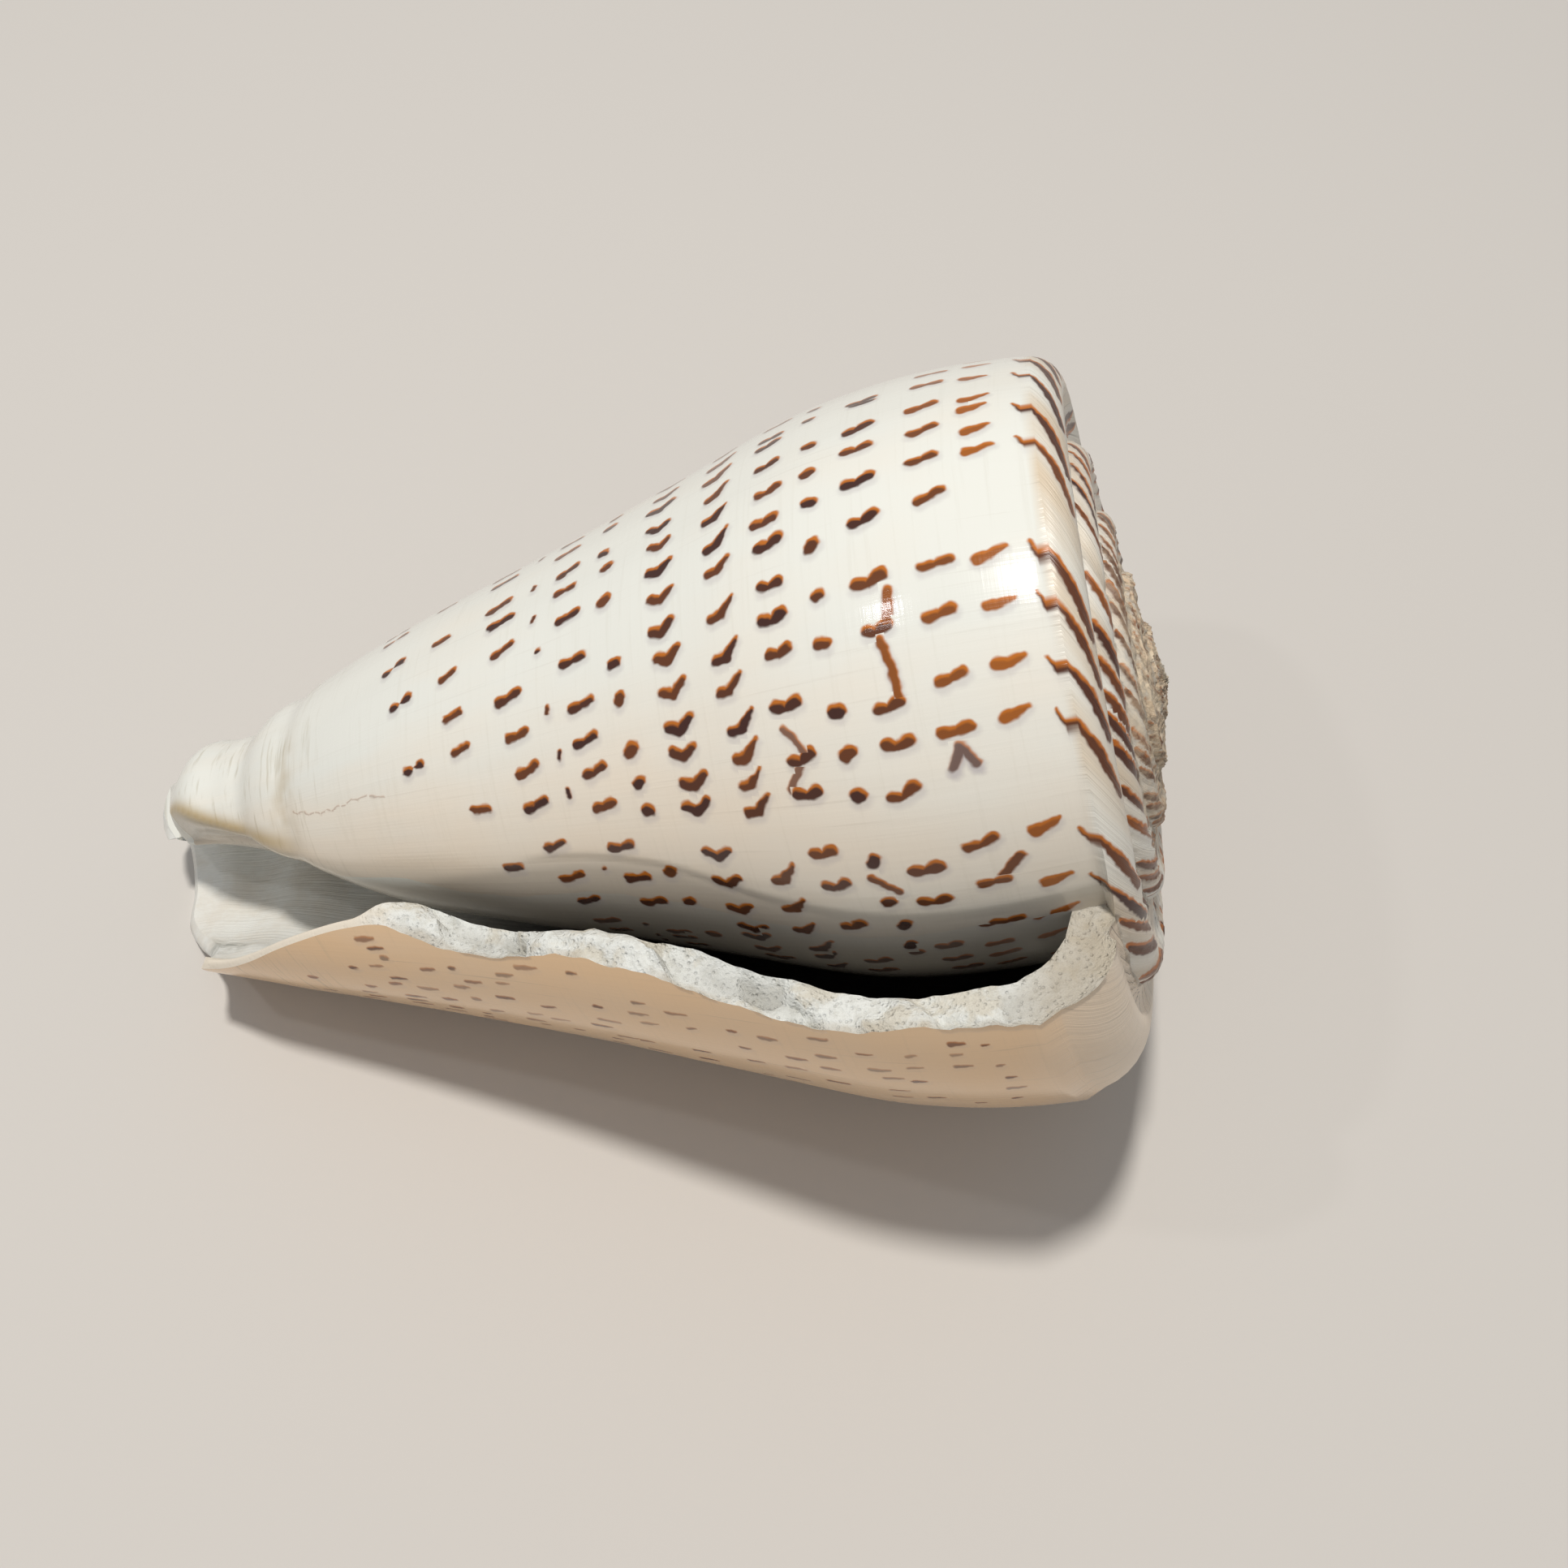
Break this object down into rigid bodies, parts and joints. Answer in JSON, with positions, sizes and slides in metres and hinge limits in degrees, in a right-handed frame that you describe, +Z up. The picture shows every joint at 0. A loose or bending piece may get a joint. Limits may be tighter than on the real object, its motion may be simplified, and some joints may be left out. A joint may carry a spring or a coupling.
{
  "type": "cone shell",
  "caption": "Large cone-shaped sea snail shell lying on its side, with a low stepped spire, a rounded shoulder and a long narrow mouth along the outer lip.",
  "frame": {"origin": "on the table, under the middle of the shell's box", "axes": "+Z up; +X along the shell from its narrow front end to its spire, level with the table; +Y away from the side with the mouth, so the mouth and the outer lip face -Y and up"},
  "size_m": [0.1072, 0.074, 0.0703],
  "materials": {
    "shell": "glossy porcelain-like outer face, cream to peach on the lip, with spiral rows of dark brown marks; the broken lip edge, the front tip and the worn spire are dull and chalky"
  },
  "bodies": {
    "root": {"cone_shell": "shell"}
  },
  "joints": []
}
